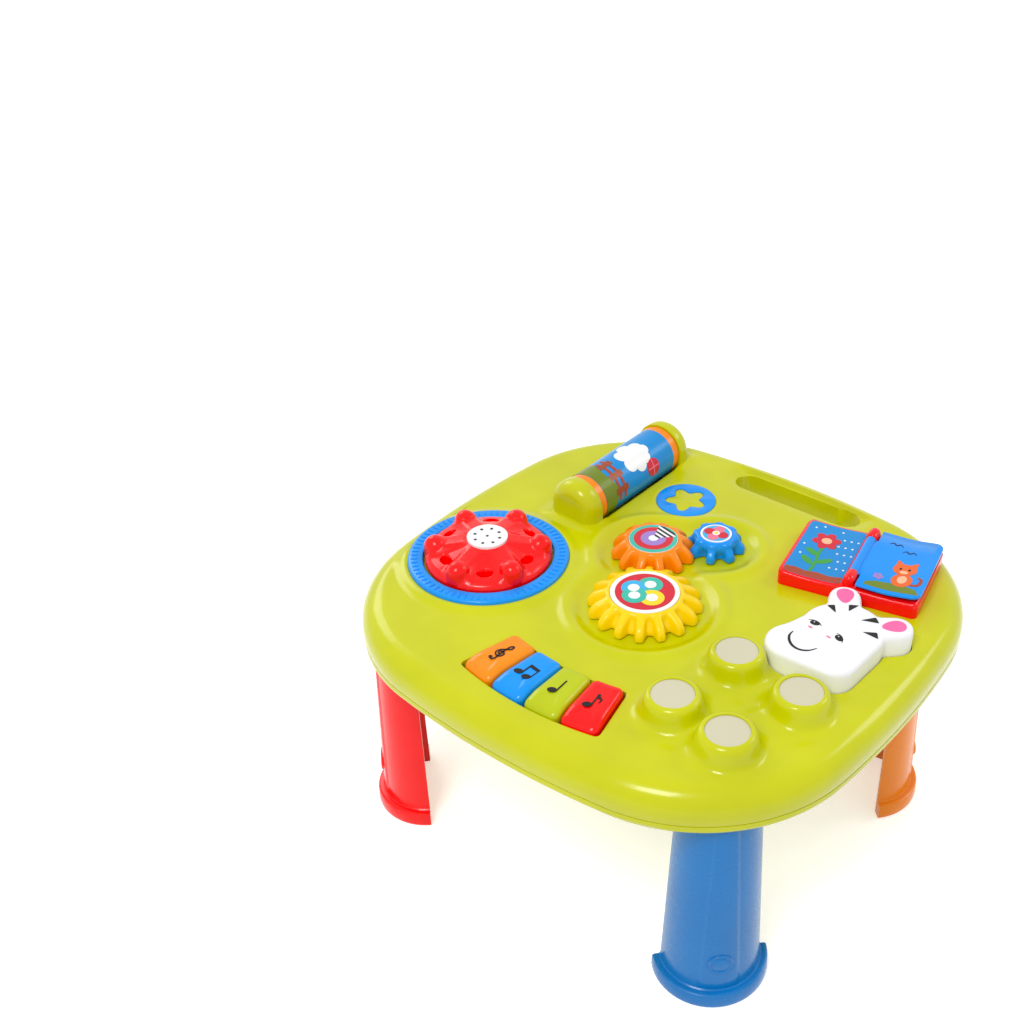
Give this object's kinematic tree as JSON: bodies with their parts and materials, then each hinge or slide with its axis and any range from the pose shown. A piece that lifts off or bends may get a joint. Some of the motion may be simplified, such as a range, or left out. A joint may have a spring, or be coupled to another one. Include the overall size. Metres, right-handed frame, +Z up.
{
  "type": "musical activity table",
  "caption": "Child's electronic activity table: play top with steering wheel, meshing gears, roller, piano keys, flip book and lamps on push-fit legs.",
  "frame": {"origin": "on the floor, under the middle of the play top", "axes": "+X to the child's right along the front (keys) edge, +Y to the back edge with the hand slot, +Z up"},
  "size_m": [0.35, 0.334, 0.1982],
  "materials": {
    "green_shell": "satin gloss",
    "green_key": "gloss",
    "blue": "gloss",
    "deep_blue": "gloss",
    "red": "gloss",
    "orange": "gloss",
    "yellow": "gloss",
    "white": "gloss",
    "star_blue": "gloss",
    "print_paper": "printed and coated",
    "lens": "milky",
    "led": "clear",
    "screw_steel": "plain",
    "spring_steel": "plain",
    "board": "matte",
    "black_plastic": "matte",
    "rubber": "matte",
    "cell": "printed sleeve"
  },
  "bodies": {
    "casing": {"top_shell": "green_shell", "bottom_shell": "green_shell", "case_screws": "screw_steel", "gear_screws": "screw_steel", "gear_washers": "screw_steel", "battery_door": "green_shell", "battery_door_screw": "screw_steel", "battery_1": "cell", "battery_2": "cell", "battery_3": "cell", "battery_contacts": "spring_steel", "tick_ring": "blue", "star_badge": "star_blue", "key_board": "board", "key_contact_strip": "rubber", "lens_1": "lens", "lens_2": "lens", "lens_3": "lens", "lens_4": "lens", "lamp_leds": "led", "lamp_board": "board", "head_contact": "rubber", "head_spring": "spring_steel", "book_base": "red", "book_picture": "print_paper", "book_pin": "screw_steel", "speaker": "black_plastic", "main_board": "board", "board_components": "black_plastic", "switch_case": "black_plastic"},
    "wheel": {"steering_wheel": "red", "hub_cap": "white", "wheel_retainer": "screw_steel", "wheel_screw": "screw_steel"},
    "gear_yellow_body": {"gear_yellow": "yellow", "badge_yellow": "print_paper"},
    "gear_orange_body": {"gear_orange": "orange", "badge_orange": "print_paper"},
    "gear_blue_body": {"gear_blue": "blue", "badge_blue": "print_paper"},
    "roller": {"roller_drum": "print_paper", "roller_cap_front": "orange", "roller_cap_back": "orange"},
    "key_orange_body": {"key_orange": "orange"},
    "key_blue_body": {"key_blue": "blue"},
    "key_green_body": {"key_green": "green_key"},
    "key_red_body": {"key_red": "red"},
    "head_button_body": {"animal_head_button": "white"},
    "leaf_body": {"book_leaf": "blue"},
    "switch_body": {"switch_knob": "black_plastic"},
    "leg_front_left_body": {"leg_front_left": "red"},
    "leg_front_right_body": {"leg_front_right": "deep_blue"},
    "leg_back_right_body": {"leg_back_right": "orange"},
    "leg_back_left_body": {"leg_back_left": "yellow"}
  },
  "joints": [
    {"name": "wheel_spin", "type": "hinge", "parent": "casing", "child": "wheel", "pos_m": [-0.1067, -0.0477, 0.171], "axis": [0, 0, 1], "continuous": true},
    {"name": "yellow_spin", "type": "hinge", "parent": "casing", "child": "gear_yellow_body", "pos_m": [0.0041, -0.025, 0.1685], "axis": [0, 0, 1], "continuous": true},
    {"name": "orange_spin", "type": "hinge", "parent": "casing", "child": "gear_orange_body", "pos_m": [-0.02645, 0.02524, 0.1685], "axis": [0, 0, 1], "continuous": true},
    {"name": "blue_spin", "type": "hinge", "parent": "casing", "child": "gear_blue_body", "pos_m": [0.00273, 0.05545, 0.1685], "axis": [0, 0, 1], "continuous": true},
    {"name": "roller_spin", "type": "hinge", "parent": "casing", "child": "roller", "pos_m": [-0.0943, 0.0792, 0.179], "axis": [0, 1, 0], "continuous": true},
    {"name": "key_orange_press", "type": "hinge", "parent": "casing", "child": "key_orange_body", "pos_m": [-0.02721, -0.0943, 0.164], "axis": [0.9847, -0.1745, 0], "range_deg": [0, 3.9], "stiffness_Nm_per_rad": 0.25, "springref_deg": -6.88},
    {"name": "key_blue_press", "type": "hinge", "parent": "casing", "child": "key_blue_body", "pos_m": [-0.00679, -0.0967, 0.164], "axis": [0.9983, -0.0584, 0], "range_deg": [0, 3.9], "stiffness_Nm_per_rad": 0.25, "springref_deg": -6.88},
    {"name": "key_green_press", "type": "hinge", "parent": "casing", "child": "key_green_body", "pos_m": [0.01379, -0.0967, 0.164], "axis": [0.9983, 0.0584, 0], "range_deg": [0, 3.9], "stiffness_Nm_per_rad": 0.25, "springref_deg": -6.88},
    {"name": "key_red_press", "type": "hinge", "parent": "casing", "child": "key_red_body", "pos_m": [0.03421, -0.0943, 0.164], "axis": [0.9847, 0.1745, 0], "range_deg": [0, 3.9], "stiffness_Nm_per_rad": 0.25, "springref_deg": -6.88},
    {"name": "head_press", "type": "slide", "parent": "casing", "child": "head_button_body", "axis": [0, 0, -1], "range_m": [0, 0.003], "stiffness_N_per_m": 350, "springref_m": -0.005, "deforming": ["head_spring"]},
    {"name": "leaf_turn", "type": "hinge", "parent": "casing", "child": "leaf_body", "pos_m": [0.0935, 0.0875, 0.1843], "axis": [0.2164, -0.9763, 0], "range_deg": [0, 178]},
    {"name": "switch_slide", "type": "slide", "parent": "casing", "child": "switch_body", "axis": [1, 0, 0], "range_m": [0, 0.004]},
    {"name": "leg_front_left_pull", "type": "slide", "parent": "casing", "child": "leg_front_left_body", "axis": [0, 0, -1], "range_m": [0, 0.018]},
    {"name": "leg_front_right_pull", "type": "slide", "parent": "casing", "child": "leg_front_right_body", "axis": [0, 0, -1], "range_m": [0, 0.018]},
    {"name": "leg_back_right_pull", "type": "slide", "parent": "casing", "child": "leg_back_right_body", "axis": [0, 0, -1], "range_m": [0, 0.018]},
    {"name": "leg_back_left_pull", "type": "slide", "parent": "casing", "child": "leg_back_left_body", "axis": [0, 0, -1], "range_m": [0, 0.018]}
  ],
  "couplings": [
    {"joint": "orange_spin", "follows": "yellow_spin", "ratio": -1.3333},
    {"joint": "blue_spin", "follows": "yellow_spin", "ratio": 2}
  ]
}
